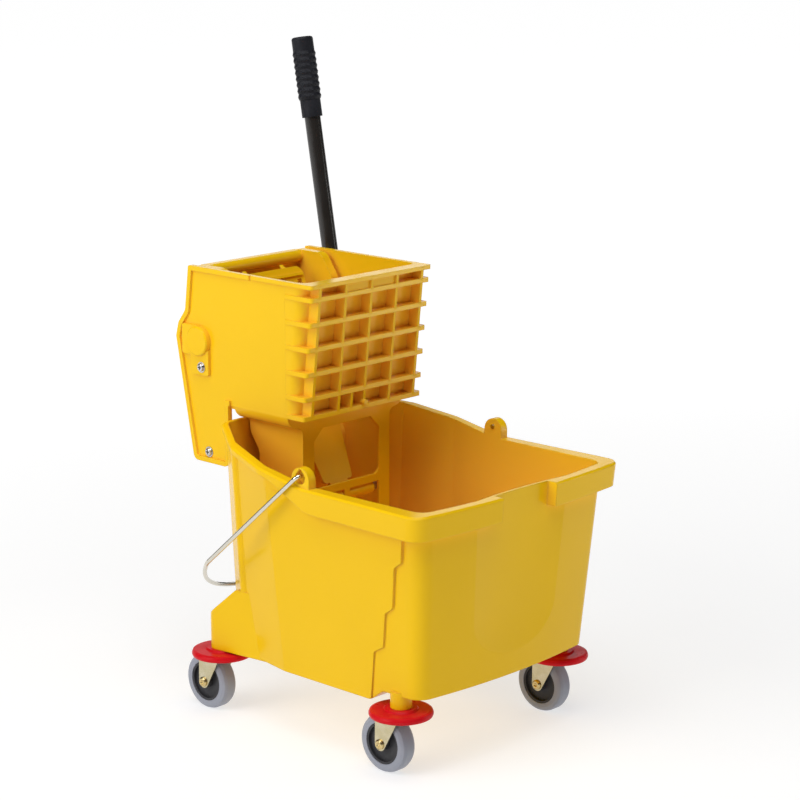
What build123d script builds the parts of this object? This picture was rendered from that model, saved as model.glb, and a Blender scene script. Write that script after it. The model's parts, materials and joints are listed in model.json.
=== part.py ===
from build123d import *
import os
from math import acos, cos, radians, sin, tan

# Mop bucket on four swivel casters with a side-press wringer hung on its rear wall.
# Millimetres. X points to the front (spout), Y to the left (lever side), Z up, floor at Z = 0.

# Casters
WHEEL_DIAMETER = 75.0
WHEEL_WIDTH = 22.0
TYRE_DEPTH = 11.0
TREAD_ROUND = 5.5
HUB_RING = 3.0
HUB_RECESS = 5.0
HUB_RING_BACK = 0.8
HUB_END_GAP = 0.4
BOSS_RADIUS = 9.0
AXLE_RADIUS = 4.0
AXLE_HEAD = 6.5
AXLE_HEAD_LENGTH = 3.2
AXLE_CHAMFER = 1.6
AXLE_DIMPLE = 2.6
AXLE_DIMPLE_DEPTH = 1.4
CASTER_TRAIL = 22.0
FORK_SHEET = 2.5
FORK_SIDE_GAP = 1.3
FORK_OVER_WHEEL = 2.5
FORK_FOOT_RADIUS = 8.5
FORK_BACK = 30.0
FORK_FRONT = 11.0
FORK_PLATE_RADIUS = 24.0
FORK_BEND = 4.0
NECK_RADIUS = 6.0
STEM_RADIUS = 5.5
STEM_LENGTH = 33.0
RACE_RADIUS = 20.0
RACE_THICK = 2.5
RACE_GAP = 1.0
RIVET_RADIUS = 8.0
RIVET_THICK = 1.7
RIVET_GAP = 0.3
STEM_END_GAP = 1.0
BUMPER_RADIUS = 40.0
BUMPER_WEB = 4.5
BUMPER_HOLLOW = 27.0
BUMPER_RIM_DROP = 6.5
BUMPER_SHOULDER = 2.2
BUMPER_COLLAR = 22.0
BUMPER_ROUND_LOW = 3.0
BUMPER_ROUND_HIGH = 4.0
BUMPER_GAP = 1.5
FORK_TRIM_DROP = 1.0
FRONT_STEM = (146.2, 149.1)
REAR_STEM = (-180.5, 143.6)

# Bucket: half outline corners from the rear wall to the front wall, at the floor and higher up
FLOOR_OVER_BUMPER = 2.0
FLOOR_STEP = 15.0
FLOOR_STEP_BACK = 105.0
FLOOR_STEP_FRONT = 125.0
FLOOR_STEP_ROUND = 12.0
BUCKET_DEPTH = 256.0
GAUGE_RISE = 310.0
LOW_CORNERS = ((-183.0, 114.0), (-135.0, 143.0), (-47.0, 160.0), (182.0, 157.0))
HIGH_CORNERS = ((-197.0, 119.5), (-139.0, 160.0), (-66.0, 181.0), (206.0, 176.0))
CORNER_ROUNDS = (20.0, 12.0, 30.0, 22.0)
WALL = 4.0
FRONT_BOW = 13.0
RIM_SLOPE = 0.1845
RIM_LEVEL_END = 10.0
RIM_SWEEP = 150.0
BAND_HEIGHT = 31.0
BAND_OUT = 9.5
BAND_FLARE = 10.0
BAND_CHAMFER = 2.5
LIP_HEIGHT = 9.0
LIP_OUT_REAR = 0.8
BAND_SWEEP_LOW = 20.0
BAND_SWEEP_HIGH = -45.0
BAND_SWEEP_ROUND_LOW = 40.0
BAND_SWEEP_ROUND_HIGH = 60.0
BAND_GAP_HALF = 50.0
BEAD_RADIUS = 9.0
BEAD_PROUD = 3.0
PANEL_DEPTH = 12.0
PANEL_STEPS = (
    (168.0, 190.0),
    (156.0, 181.0),
    (150.0, 128.0),
    (137.0, 119.0),
    (131.0, 74.0),
    (115.0, 65.0),
)
PANEL_TOP_X = 173.0
PANEL_LOW_X = 103.0
PANEL_ROUND = 4.0
DISH_LOW = (30.0, -4.0)
DISH_BEND = (72.0, 6.8)
DISH_HIGH = (330.0, 8.6)
DISH_ROUND = 200.0
DISH_RADIUS = 731.0
DISH_FAR = 40.0
EAR_X = 10.0
EAR_RADIUS = 15.0
EAR_RISE = 10.0
EAR_THICK = 14.0
EAR_RECESS = 6.0
EAR_RECESS_RADIUS = 8.0
EAR_PIVOT_RISE = 14.5
EAR_RECESS_DROP = 2.0
EAR_TIP_RISE = 7.0
EAR_TIP_RADIUS = 2.0
POST_RADIUS = 13.5
POST_HIGH = 34.0
OUTRIGGER_HALF = 14.5
OUTRIGGER_RISE = 87.0
OUTRIGGER_KNEE = 46.0
OUTRIGGER_REACH = 14.0
OUTRIGGER_LENGTH = 80.0
OUTRIGGER_LEAN = 4.0
OUTRIGGER_ROUND = 10.0
OUTRIGGER_BACK = 8.0
OUTRIGGER_SIDE_ROOT = 50.0
OUTRIGGER_REAR_ROOT = (10.0, 40.0)

# Bail
BAIL_WIRE = 2.9
BAIL_DROOP = 40.9
BAIL_ARM = 218.0
BAIL_MIDDLE = 343.0
BAIL_BEND = 20.0
BAIL_EYE_BEND = 6.0
BAIL_SIDE_GAP = 3.5
BAIL_END_BACK = 0.5

# Wringer housing, measured from where it sits on the outside of the rear rim
SEAT_GAP = 0.4
WRINGER_RISE = 194.6
WRINGER_HALF = 107.0
HOUSING_WALL = 4.0
SKIRT_DROP = 64.4
SKIRT_REAR = (-74.7, -82.2, -95.7, -100.7, -69.3)
SKIRT_REAR_Z = (134.3, 116.6, 98.0)
SKIRT_ROUNDS = (3.0, 12.0, 8.0, 8.0, 9.0)
SLOT_BACK = -2.5
FLANGE_OUT = 3.0
FLANGE_WIDTH = 6.5
FLANGE_FRONT = 40.0
FLANGE_FRONT_LOW = 100.0
BASKET_FLOOR = 18.0
BASKET_FLOOR_THICK = 6.0
GRID_LOW_X = 135.3
GRID_HIGH_X = 153.3
GRID_DEPTH = 16.0
GRID_CORNER = 4.0
BASKET_CORNER = 16.0
BEAD_HEIGHT = 5.5
BEAD_BACK = 60.0
ROW_TOP = 175.1
ROW_PITCH = 32.2
ROW_COUNT = 5
ROW_THICK = 6.0
ROW_PROUD = 1.0
COLUMN_END = 14.0
COLUMN_THICK = 4.3
BLANK_BACK = 3.0
NUB_RADIUS = 3.5
NUB_LENGTH = 8.0
SHOULDER_WIDTH = 27.0
NECK_FRONT = 105.3
NECK_REAR_HIGH = 6.5
NECK_REAR_LOW = 24.0
SHOULDER_LOW = 2.0
SHOULDER_ROUND = 18.0
SHOULDER_HOLLOW = 10.0
NECK_REAR_KNEE = -18.0
NECK_REAR_FOOT = -42.0
NECK_LOW = -134.4
NECK_ROUND = 20.0
WINDOW_SIDE = 20.0
WINDOW_HIGH = -4.4
WINDOW_LOW = -84.4
WINDOW_CHAMFER = 16.0
WINDOW_ROUND = 8.0
CROSSBAR = 10.0
LOWER_WINDOW_LOW = -128.0
LUG_HALF = 5.0
SHELF_THICK = 4.0
SADDLE_HALF = 80.0
SADDLE_WIDTH = 6.0
REAR_PANEL_HIGH = 86.0
BEARING_BOSS = 16.0
BEARING_BOSS_LENGTH = 6.0

# Fasteners and caps on the housing
PIVOT_X = -56.7
PIVOT_Z = 96.6
CAP_THICK = 4.0
CAP_BOSS_RADIUS = 19.5
CAP_BOSS_RISE = 4.0
CAP_BACK = -88.0
CAP_HALF = 20.0
CAP_TAB = (-72.0, -38.0, 51.5)
CAP_SCREW = (-50.9, 62.4)
CAP_SCREW_BOSS = 6.5
CAP_SCREW_BOSS_LENGTH = 9.0
CAP_ROUND = 4.0
CAP_CHAMFER = 1.5
TIE_SCREW = (-42.6, -50.4)
TIE_ROD_RADIUS = 6.0
SCREW_RADIUS = 2.5
SCREW_HEAD = 5.5
SCREW_HEAD_RISE = 3.0
SCREW_HEAD_ROUND = 2.0
SCREW_END_GAP = 1.0
WASHER_RADIUS = 7.0
WASHER_THICK = 1.0
TIE_SCREW_BITE = 14.0

# Lever, shaft and yoke
SHAFT_RADIUS = 8.0
SHAFT_END_GAP = 0.5
SHAFT_END_BACK = 2.0
LEVER_OFFSET = 42.0
LEVER_LEAN = 10.2
LEVER_LENGTH = 380.0
TUBE_RADIUS = 11.0
TUBE_START = 16.0
TUBE_WALL = 2.0
GRIP_RADIUS = 14.7
GRIP_LENGTH = 109.0
GRIP_CUFF = 24.0
GRIP_CUFF_RADIUS = 14.0
GRIP_RINGS = 8
GRIP_RING_PITCH = 8.2
GRIP_RING_RISE = 1.3
GRIP_END_ROUND = 3.0
GRIP_END_WALL = 6.0
SOCKET_RADIUS = 15.0
SOCKET_LENGTH = 74.0
SOCKET_HUB_RADIUS = 19.0
SOCKET_HUB_HALF = 18.0
SOCKET_CHAMFER = 1.5
SOCKET_BOLT_AT = 48.0
SOCKET_BOLT_RADIUS = 3.0
SOCKET_BOLT_GAP = 1.0
SOCKET_BOLT_HEAD = 4.0
YOKE_ARM_THICK = 12.0
YOKE_SIDE_GAP = 1.0
YOKE_HUB = 15.0
YOKE_TOP = 96.0
YOKE_BACK = 17.0
YOKE_FRONT = 31.0
YOKE_ROUND = 18.0
YOKE_BACK_ROUND = 3.0
YOKE_CHEEK = (56.0, 60.0)
YOKE_STRIP_BACK = 21.0
YOKE_STRIP_ROUND = 2.0
YOKE_WEB = 4.0
NOSE_RADIUS = 8.0
NOSE_REACH = 88.2
NOSE_ANGLE = 97.0
LEVER_TRAVEL = 80.0

# Presser, hinged at the foot of the housing's neck
HINGE_X = 95.5
HINGE_Z = -103.4
PRESSER_LEAN = 26.5
PRESSER_RATIO = 0.205
PRESSER_LENGTH = 311.7
PRESSER_SIDE_GAP = 12.0
PRESSER_LOW_HALF = 26.0
PRESSER_LOW = 18.0
PRESSER_STEM_HALF = 16.0
PRESSER_THICK = 5.0
PRESSER_ROUND = 12.0
KNUCKLE_RADIUS = 9.0
KNUCKLE_SIDE_GAP = 8.0
KNUCKLE_CLEAR = 4.0
HINGE_PIN_RADIUS = 5.0
PIN_END_RADIUS = 7.5
PIN_END_LENGTH = 2.0
RAMP_THICK = 6.0
RAMP_Y = 34.0
RAMP_FOOT = 150.0
RAMP_STEPS = 8
RAMP_FROM = 0.2
RAMP_ALLOWANCE = 9.0
SQUEEZE_RIBS = 6
SQUEEZE_RIB_PITCH = 27.0
SQUEEZE_RIB_HEIGHT = 3.0
SQUEEZE_RIB_THICK = 4.0
SQUEEZE_RIB_SHORT = 5.0
SQUEEZE_TOP = 12.0
DRAIN_SLOT_WIDTH = 8.0
DRAIN_SLOT_HEIGHT = 15.0
DRAIN_SLOT_PITCH = 17.0
DRAIN_COLUMNS = (-3, -1, 0, 1, 3)

# Clearances, and how far shapes that are joined run into each other
RUN_FIT = 0.05
SLIP_FIT = 0.05
CENTRE_GAP = 0.8
BITE = 1.0

# Heights that follow from the casters upwards
AXLE_Z = WHEEL_DIAMETER / 2
FORK_PLATE_LOW = WHEEL_DIAMETER + FORK_OVER_WHEEL
FORK_PLATE_HIGH = FORK_PLATE_LOW + FORK_SHEET
RACE_LOW = FORK_PLATE_HIGH + RACE_GAP
RACE_HIGH = RACE_LOW + RACE_THICK
POST_LOW = RACE_HIGH + BUMPER_WEB
FLOOR_Z = POST_LOW + FLOOR_OVER_BUMPER
RIM_Z = FLOOR_Z + BUCKET_DEPTH

# Blocks are drawn past the floor and the rim, and cutters past everything
BLOCK_UNDER = 20.0
BLOCK_OVER = 200.0
CUT_LOW = FLOOR_Z - BLOCK_UNDER
CUT_HIGH = RIM_Z + BLOCK_OVER
REACH = 500.0

# Widths that follow from the wheel outwards
FORK_INSIDE = WHEEL_WIDTH / 2 + FORK_SIDE_GAP
FORK_OUTSIDE = FORK_INSIDE + FORK_SHEET

# Widths that follow from the wringer's side walls
NECK_HALF = WRINGER_HALF - SHOULDER_WIDTH
WINDOW_HALF = NECK_HALF - WINDOW_SIDE
COLUMN_PITCH = (WRINGER_HALF - COLUMN_END) / 2
LEVER_Y = WRINGER_HALF + LEVER_OFFSET
YOKE_ARM_OUT = WRINGER_HALF - HOUSING_WALL - BEARING_BOSS_LENGTH - YOKE_SIDE_GAP
YOKE_ARM_IN = YOKE_ARM_OUT - YOKE_ARM_THICK
PRESSER_HALF = NECK_HALF - HOUSING_WALL - PRESSER_SIDE_GAP
KNUCKLE_HALF = WINDOW_HALF - KNUCKLE_SIDE_GAP


def outline(*corners):
    """Flat closed outline; a corner is (across, up) or (across, up, fillet radius)."""
    points = [corner[:2] for corner in corners]
    radii = [corner[2] if len(corner) > 2 else 0 for corner in corners]
    return make_face(FilletPolyline(*points, radius=radii, close=True))


def side_plate(sketch, y_low, y_high):
    """Side-view outline (X, Z) made solid between two values of Y."""
    half = (y_high - y_low) / 2
    return Pos(0, y_low + half, 0) * extrude(Plane.XZ * sketch, half, both=True)


def front_plate(sketch, x_low, x_high):
    """Front-view outline (Y, Z) made solid between two values of X."""
    half = (x_high - x_low) / 2
    return Pos(x_low + half, 0, 0) * extrude(Plane.YZ * sketch, half, both=True)


def rod(radius, x, z, y_low, y_high):
    """Round bar along Y."""
    return Pos(x, (y_low + y_high) / 2, z) * Rot(90, 0, 0) * Cylinder(radius, abs(y_high - y_low))


def eased(corners):
    """Corners of an outline, each one with a radius replaced by two flats across its arc."""
    points = [Vector(*corner[:2]) for corner in corners]
    eased_points = []
    for index, corner in enumerate(corners):
        here = points[index]
        if len(corner) < 3:
            eased_points.append(here)
            continue
        radius = corner[2]
        before = (points[index - 1] - here).normalized()
        after = (points[(index + 1) % len(points)] - here).normalized()
        half_turn = acos(before.dot(after)) / 2
        tangent = radius / tan(half_turn)
        middle = (before + after).normalized() * (radius / sin(half_turn) - radius)
        eased_points += [here + before * tangent, here + middle, here + after * tangent]
    return [(point.X, point.Y) for point in eased_points]


def turned_z(*corners):
    """Solid turned about Z from corners (radius, height) or (radius, height, round)."""
    return revolve(Plane.XZ * outline(*eased(corners)), Axis.Z)


def turned_y(*corners):
    """Solid turned about Y from corners (radius, Y) or (radius, Y, round)."""
    return revolve(outline(*eased(corners)), Axis.Y)


def both_sides(make):
    """The same piece for the right (-1) and the left (+1) side, joined."""
    return make(-1) + make(1)


def bumper():
    bore = STEM_RADIUS + SLIP_FIT
    low = POST_LOW - BUMPER_WEB - BUMPER_RIM_DROP
    high = POST_LOW - BUMPER_SHOULDER
    return turned_z(
        (bore, RACE_HIGH),
        (BUMPER_HOLLOW, RACE_HIGH),
        (BUMPER_HOLLOW, low),
        (BUMPER_RADIUS, low, BUMPER_ROUND_LOW),
        (BUMPER_RADIUS, high, BUMPER_ROUND_HIGH),
        (BUMPER_COLLAR, high),
        (BUMPER_COLLAR - BUMPER_SHOULDER, POST_LOW),
        (bore, POST_LOW),
    )


def caster_stem():
    rivet_high = FORK_PLATE_LOW - RIVET_GAP
    rivet_low = rivet_high - RIVET_THICK
    stem_high = RACE_HIGH + STEM_LENGTH
    return turned_z(
        (0, rivet_low),
        (RIVET_RADIUS, rivet_low),
        (RIVET_RADIUS, rivet_high),
        (NECK_RADIUS, rivet_high),
        (NECK_RADIUS, RACE_LOW),
        (RACE_RADIUS, RACE_LOW),
        (RACE_RADIUS, RACE_HIGH),
        (STEM_RADIUS, RACE_HIGH),
        (STEM_RADIUS, stem_high),
        (0, stem_high),
    )


def caster_fork():
    """Pressed fork: a bent channel trimmed to the leg shape, with a round plate on top."""
    channel = outline(
        (-FORK_OUTSIDE, 0),
        (FORK_OUTSIDE, 0),
        (FORK_OUTSIDE, FORK_PLATE_HIGH, FORK_BEND),
        (-FORK_OUTSIDE, FORK_PLATE_HIGH, FORK_BEND),
    ) - outline(
        (-FORK_INSIDE, -BITE),
        (FORK_INSIDE, -BITE),
        (FORK_INSIDE, FORK_PLATE_LOW, FORK_BEND - FORK_SHEET),
        (-FORK_INSIDE, FORK_PLATE_LOW, FORK_BEND - FORK_SHEET),
    )
    foot = Pos(-CASTER_TRAIL, AXLE_Z) * Circle(FORK_FOOT_RADIUS)
    head = Line((-FORK_BACK, FORK_PLATE_HIGH), (FORK_FRONT, FORK_PLATE_HIGH))
    leg = make_hull(foot.edges() + head.edges())
    fork = front_plate(channel, -2 * FORK_BACK, FORK_BACK) & side_plate(leg, -FORK_OUTSIDE, FORK_OUTSIDE)
    plate_z = (FORK_PLATE_LOW + FORK_PLATE_HIGH) / 2
    fork += Pos(0, 0, plate_z) * Cylinder(FORK_PLATE_RADIUS, FORK_SHEET)
    trim_low = FORK_PLATE_LOW - FORK_TRIM_DROP
    trim = Cylinder(2 * BUMPER_RADIUS, POST_LOW - trim_low)
    trim -= Cylinder(BUMPER_HOLLOW - BUMPER_GAP, POST_LOW)
    fork -= Pos(0, 0, (trim_low + POST_LOW) / 2) * trim
    fork -= Pos(0, 0, plate_z) * Cylinder(NECK_RADIUS + RUN_FIT, 4 * FORK_SHEET)
    return fork - rod(AXLE_RADIUS + SLIP_FIT, -CASTER_TRAIL, AXLE_Z, -REACH, REACH)


def caster_axle():
    """Riveted axle with a domed, dimpled head at each end."""
    end = FORK_OUTSIDE + AXLE_HEAD_LENGTH
    dimple = end - AXLE_DIMPLE_DEPTH
    axle = turned_y(
        (0, -dimple),
        (AXLE_DIMPLE / 2, -dimple),
        (AXLE_DIMPLE, -end),
        (AXLE_HEAD - AXLE_CHAMFER, -end),
        (AXLE_HEAD, AXLE_CHAMFER - end),
        (AXLE_HEAD, -FORK_OUTSIDE),
        (AXLE_RADIUS, -FORK_OUTSIDE),
        (AXLE_RADIUS, FORK_OUTSIDE),
        (AXLE_HEAD, FORK_OUTSIDE),
        (AXLE_HEAD, end - AXLE_CHAMFER),
        (AXLE_HEAD - AXLE_CHAMFER, end),
        (AXLE_DIMPLE, end),
        (AXLE_DIMPLE / 2, dimple),
        (0, dimple),
    )
    return Pos(-CASTER_TRAIL, 0, AXLE_Z) * axle


def wheel_hub():
    bore = AXLE_RADIUS + RUN_FIT
    ring_out = WHEEL_DIAMETER / 2 - TYRE_DEPTH
    ring_in = ring_out - HUB_RING
    ring_y = WHEEL_WIDTH / 2 - HUB_RING_BACK
    web_y = WHEEL_WIDTH / 2 - HUB_RECESS
    boss_y = FORK_INSIDE - HUB_END_GAP
    hub = turned_y(
        (bore, -boss_y),
        (BOSS_RADIUS, -boss_y),
        (BOSS_RADIUS, -web_y),
        (ring_in, -web_y),
        (ring_in, -ring_y),
        (ring_out, -ring_y),
        (ring_out, ring_y),
        (ring_in, ring_y),
        (ring_in, web_y),
        (BOSS_RADIUS, web_y),
        (BOSS_RADIUS, boss_y),
        (bore, boss_y),
    )
    return Pos(-CASTER_TRAIL, 0, AXLE_Z) * hub


def tyre():
    half = WHEEL_WIDTH / 2
    inside = WHEEL_DIAMETER / 2 - TYRE_DEPTH
    outside = WHEEL_DIAMETER / 2
    ring = turned_y(
        (inside, -half),
        (outside, -half, TREAD_ROUND),
        (outside, half, TREAD_ROUND),
        (inside, half),
    )
    return Pos(-CASTER_TRAIL, 0, AXLE_Z) * ring


def bucket_corner(index, z):
    """Corner of the drafted half outline at height z: 0 and 1 rear, 2 side, 3 front."""
    share = (z - FLOOR_Z) / GAUGE_RISE
    low = Vector(*LOW_CORNERS[index])
    high = Vector(*HIGH_CORNERS[index])
    return low + (high - low) * share


def moved_corner(before, here, after, out_before, out_after):
    """Corner where the two edges at it, each moved outwards by its own amount, now cross."""
    first = (here - before).normalized()
    second = (after - here).normalized()
    first_normal = Vector(first.Y, -first.X)
    second_normal = Vector(second.Y, -second.X)
    lean = first_normal.dot(second_normal)
    first_part = first_normal * (out_before - out_after * lean)
    second_part = second_normal * (out_after - out_before * lean)
    return here + (first_part + second_part) * (1 / (1 - lean * lean))


def bucket_section(z, side_out, rear_out, flare):
    """Outline at height z, grown by side_out and rear_out, and by flare at the front corners."""
    rear, bend, side, front = [bucket_corner(index, z) for index in range(4)]
    front += Vector(0, flare)
    half = [front, side, bend, rear]
    points = [Vector(p.X, -p.Y) for p in half[:1]] + half + [Vector(p.X, -p.Y) for p in half[:0:-1]]
    corner_out = (rear_out + side_out) / 2
    grow = [side_out, side_out, side_out, corner_out, rear_out, corner_out, side_out, side_out]
    count = len(points)
    grown = [
        moved_corner(points[i - 1], points[i], points[(i + 1) % count], grow[i - 1], grow[i])
        for i in range(count)
    ]
    middle = Vector(grown[0].X + FRONT_BOW, 0)
    edges = [ThreePointArc(grown[0], middle, grown[1])]
    edges += [Line(grown[i], grown[(i + 1) % count]) for i in range(1, count)]
    face = make_face(edges)
    corner_kinds = (3, 3, 2, 1, 0, 0, 1, 2)
    rounds = [CORNER_ROUNDS[kind] for kind in corner_kinds]
    for point, round_radius in zip(grown, rounds):
        vertex = face.vertices().sort_by_distance(point)[0]
        face = fillet(vertex, round_radius + min(side_out, 0))
    return Pos(0, 0, z) * face


def bucket_block(z_low, z_high, side_out, rear_out, flare=0.0):
    """Drafted solid block of the bucket between two heights."""
    sections = [bucket_section(z, side_out, rear_out, flare) for z in (z_low, z_high)]
    return loft(sections, ruled=True)


def rim_height(x):
    """Height of the rim's top line in the side view."""
    return RIM_Z + max(0.0, RIM_LEVEL_END - x) * RIM_SLOPE


def below_rim():
    """Everything under the rim's top line."""
    far = rim_height(-REACH)
    profile = outline(
        (REACH, -REACH),
        (REACH, RIM_Z),
        (RIM_LEVEL_END, RIM_Z, RIM_SWEEP),
        (-REACH, far),
        (-REACH, -REACH),
    )
    return side_plate(profile, -REACH, REACH)


def below_floor(rise):
    """Everything under the stepped floor line, raised by rise."""
    low = FLOOR_Z + rise
    high = low + FLOOR_STEP
    profile = outline(
        (-REACH, -REACH),
        (REACH, -REACH),
        (REACH, high),
        (FLOOR_STEP_FRONT, high, FLOOR_STEP_ROUND),
        (FLOOR_STEP_BACK, low, FLOOR_STEP_ROUND),
        (-REACH, low),
    )
    return side_plate(profile, -REACH, REACH)


def rim_band():
    """Rolled band round the top: deep at the front and sides, a narrow lip behind the ears."""
    lip = rim_height(BAND_SWEEP_HIGH) - LIP_HEIGHT
    far_low = rim_height(-REACH) - LIP_HEIGHT
    profile = outline(
        (REACH, RIM_Z - BAND_HEIGHT),
        (BAND_SWEEP_LOW, RIM_Z - BAND_HEIGHT, BAND_SWEEP_ROUND_LOW),
        (BAND_SWEEP_HIGH, lip, BAND_SWEEP_ROUND_HIGH),
        (-REACH, far_low),
        (-REACH, rim_height(-REACH)),
        (RIM_LEVEL_END, RIM_Z, RIM_SWEEP),
        (REACH, RIM_Z),
    )
    block = bucket_block(CUT_LOW, CUT_HIGH, BAND_OUT, LIP_OUT_REAR, BAND_FLARE)
    band = block & side_plate(profile, -REACH, REACH)
    top_edges = [
        edge
        for edge in band.edges()
        if abs(edge.center().Z - rim_height(edge.center().X)) < BAND_CHAMFER
        and Vector(edge.center().X, edge.center().Y).length > WRINGER_HALF
    ]
    band = chamfer(top_edges, BAND_CHAMFER)
    gap = Box(DISH_FAR, 2 * BAND_GAP_HALF, 4 * BAND_HEIGHT)
    return band - Pos(bucket_corner(3, RIM_Z).X + FRONT_BOW, 0, RIM_Z) * gap


def pour_dish(deeper):
    """Turned cutter for the pouring dish in the front wall; deeper gives the face behind it."""
    axis_x = bucket_corner(3, FLOOR_Z).X + DISH_RADIUS

    def on_wall(rise, depth):
        z = FLOOR_Z + rise
        return axis_x - bucket_corner(3, z).X - FRONT_BOW + depth + deeper, z

    high_radius, high_z = on_wall(*DISH_HIGH)
    low_radius, low_z = on_wall(*DISH_LOW)
    inside = high_radius - DISH_FAR
    profile = outline(
        (inside, low_z),
        (low_radius, low_z),
        (*on_wall(*DISH_BEND), DISH_ROUND),
        (high_radius, high_z),
        (inside, high_z),
    )
    return Pos(axis_x, 0, 0) * revolve(Plane.XZ * profile, Axis.Z)


def side_panel():
    """Raised panel on the left wall, flush at its rear bend and proud at its stepped front edge."""
    sections = []
    for z in (CUT_LOW, CUT_HIGH):
        bend = bucket_corner(2, z)
        inside = bend.Y - PANEL_DEPTH
        face = outline((bend.X, inside), (REACH, inside), (REACH, bend.Y), (bend.X, bend.Y))
        sections.append(Pos(0, 0, z) * face)
    slab = loft(sections, ruled=True)
    steps = [(x, FLOOR_Z + rise, PANEL_ROUND) for x, rise in PANEL_STEPS]
    profile = outline(
        (-REACH, RIM_Z - BAND_HEIGHT / 2),
        (PANEL_TOP_X, RIM_Z - BAND_HEIGHT / 2),
        *steps,
        (PANEL_LOW_X, CUT_LOW - BITE),
        (-REACH, CUT_LOW - BITE),
    )
    return slab & side_plate(profile, 0, REACH)


def corner_bead():
    """Rounded upright bead on the left rear corner bend."""
    sections = []
    for z in (CUT_LOW, CUT_HIGH):
        bend = bucket_corner(1, z)
        inward = (Vector(0, 0) - bend).normalized() * (BEAD_RADIUS - BEAD_PROUD)
        centre = bend + inward
        sections.append(Pos(centre.X, centre.Y, z) * Circle(BEAD_RADIUS))
    return loft(sections, ruled=True)


def bucket_body():
    """Drafted block with side panels and corner beads, made as a left half and its mirror image."""
    left = side_plate(Rectangle(2 * REACH, 4 * REACH), 0, REACH)
    half = bucket_block(CUT_LOW, CUT_HIGH, 0, 0) & left
    half += side_panel()
    half += corner_bead()
    half -= below_floor(0)
    return half + mirror(half, Plane.XZ)


def ear_outside():
    """Y of the ears' outer face, level with the band."""
    return (bucket_corner(2, RIM_Z).Y + bucket_corner(3, RIM_Z).Y) / 2 + BAND_OUT


def ear(side):
    arch = Pos(EAR_X, RIM_Z + EAR_RISE) * Circle(EAR_RADIUS)
    low = BAND_HEIGHT / 2
    foot = Pos(EAR_X, RIM_Z + (EAR_RISE - low) / 2) * Rectangle(2 * EAR_RADIUS, EAR_RISE + low)
    outside = ear_outside()
    return side_plate(arch + foot, *sorted((side * (outside - EAR_THICK), side * outside)))


def ear_recess(side):
    """Teardrop recess on the outside of an ear, with the bore for the bail's end."""
    pivot_z = RIM_Z + EAR_PIVOT_RISE
    round_end = Pos(EAR_X, pivot_z - EAR_RECESS_DROP) * Circle(EAR_RECESS_RADIUS)
    point = Pos(EAR_X, pivot_z + EAR_TIP_RISE) * Circle(EAR_TIP_RADIUS)
    drop = make_hull(round_end.edges() + point.edges())
    outside = ear_outside()
    recess = side_plate(drop, *sorted((side * (outside - EAR_RECESS), side * (outside + EAR_RECESS))))
    bore = rod(BAIL_WIRE + RUN_FIT, EAR_X, pivot_z, side * (outside - 2 * EAR_THICK), side * outside)
    return recess + bore


def outrigger(side):
    """Gusset on a rear corner over the rear caster, running out into the side wall."""
    x, y = REAR_STEM
    back = x - OUTRIGGER_REACH
    wall = bucket_corner(1, FLOOR_Z)
    front = wall.X + OUTRIGGER_LENGTH
    profile = outline(
        (front, POST_LOW),
        (back, POST_LOW),
        (back + OUTRIGGER_LEAN, POST_LOW + OUTRIGGER_KNEE, OUTRIGGER_ROUND),
        (wall.X - OUTRIGGER_BACK, POST_LOW + OUTRIGGER_RISE),
        (front, POST_LOW + OUTRIGGER_RISE),
    )
    round_end = Pos(x, y) * Circle(OUTRIGGER_HALF)
    side_root = Pos(wall.X + OUTRIGGER_SIDE_ROOT, wall.Y) * Circle(WALL)
    root_in, root_across = OUTRIGGER_REAR_ROOT
    rear_root = Pos(wall.X + root_in, wall.Y - root_across) * Circle(WALL)
    plan = make_hull(round_end.edges() + side_root.edges() + rear_root.edges())
    block = extrude(plan, POST_LOW + OUTRIGGER_RISE) & side_plate(profile, 0, REACH)
    return block if side > 0 else mirror(block, Plane.XZ)


def post(x, y, z_low, z_high):
    return Pos(x, y, (z_low + z_high) / 2) * Cylinder(POST_RADIUS, z_high - z_low)


def bucket_shell():
    shell = bucket_body() - pour_dish(0)
    shell += both_sides(outrigger)
    shell = shell & below_rim()
    shell += rim_band() + both_sides(ear)
    front_x, front_y = FRONT_STEM
    step_high = FLOOR_Z + FLOOR_STEP + WALL
    shell += both_sides(lambda side: post(front_x, side * front_y, POST_LOW, step_high))
    hollow = bucket_block(FLOOR_Z + WALL / 2, CUT_HIGH, -WALL, -WALL) - pour_dish(WALL)
    shell -= hollow - below_floor(WALL)
    inside_low = POST_LOW + WALL
    inside_high = POST_LOW + POST_HIGH
    inner_posts = both_sides(lambda side: post(front_x, side * front_y, inside_low, inside_high))
    shell += inner_posts & bucket_block(FLOOR_Z, CUT_HIGH, -WALL / 2, -WALL / 2)
    shell -= both_sides(ear_recess)
    bore_high = RACE_HIGH + STEM_LENGTH + STEM_END_GAP
    for x, y in (FRONT_STEM, REAR_STEM):
        for side in (-1, 1):
            bore = Cylinder(STEM_RADIUS + SLIP_FIT, bore_high)
            shell -= Pos(x, side * y, bore_high / 2) * bore
    return shell


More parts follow.
